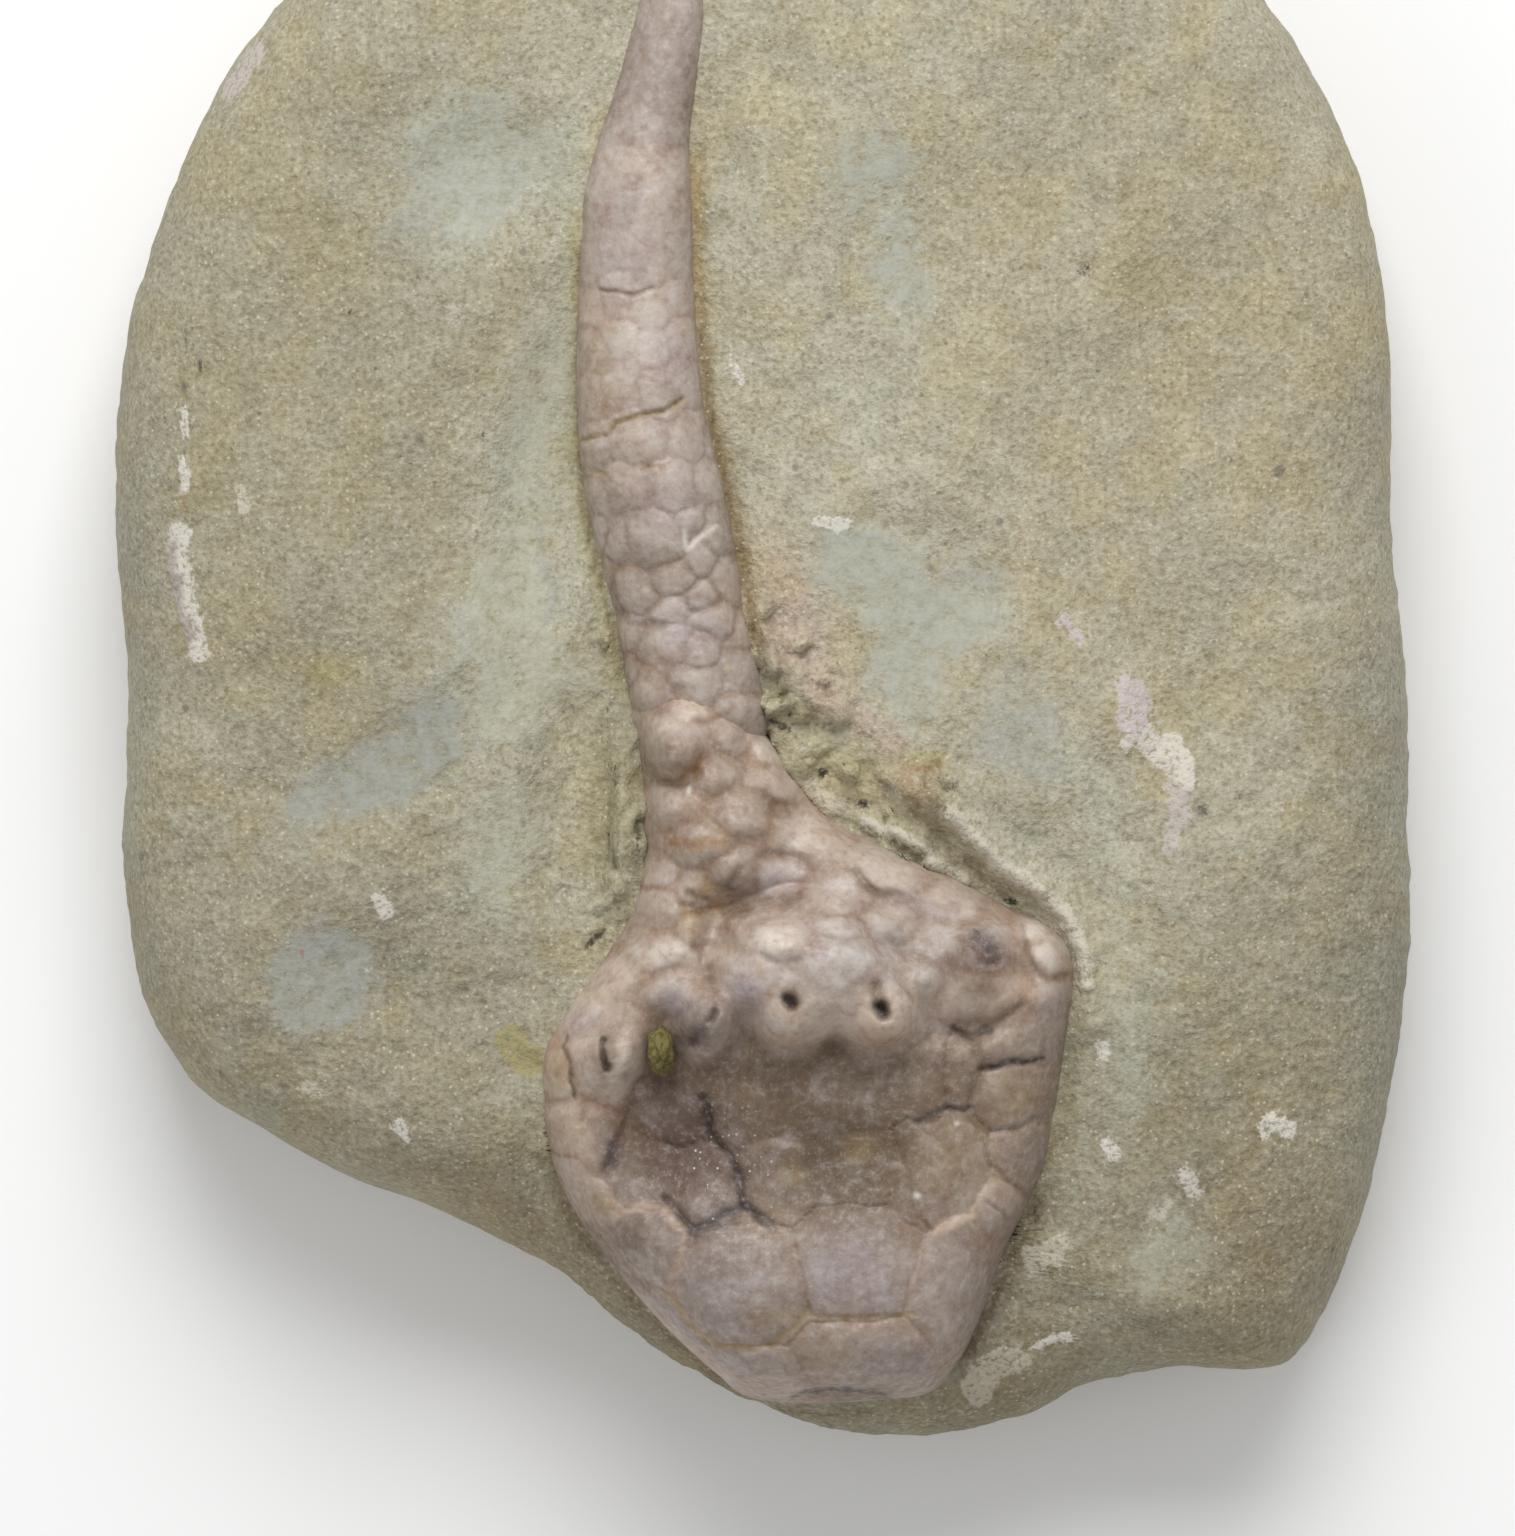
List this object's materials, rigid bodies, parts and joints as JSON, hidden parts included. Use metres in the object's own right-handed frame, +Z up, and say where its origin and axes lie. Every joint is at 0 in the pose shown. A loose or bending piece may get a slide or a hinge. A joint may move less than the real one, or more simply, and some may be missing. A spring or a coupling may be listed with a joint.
{
  "type": "crinoid fossil plate",
  "caption": "Rounded slab of siltstone with the plated calyx and long anal tube of a fossil sea lily lying half sunk in its face.",
  "frame": {"origin": "middle of the flat underside of the slab", "axes": "+Z up out of the face that shows the fossil, +Y along the slab's length towards the tip of the tube, +X to the right"},
  "size_m": [0.0663, 0.0842, 0.0232],
  "materials": {
    "siltstone": "fine sandy grain, matt, greenish tan with scraped grey-green patches",
    "calyx_calcite": "smooth mineral with a soft sheen, pinkish brown in the grooves and pale mauve on the domes",
    "tube_calcite": "smooth mineral with a soft sheen, pale pinkish grey",
    "sediment": "dull yellow-green crumbly sediment"
  },
  "bodies": {
    "root": {"matrix": "siltstone", "calyx": "calyx_calcite", "anal_tube": "tube_calcite", "sediment_plug": "sediment"}
  },
  "joints": []
}
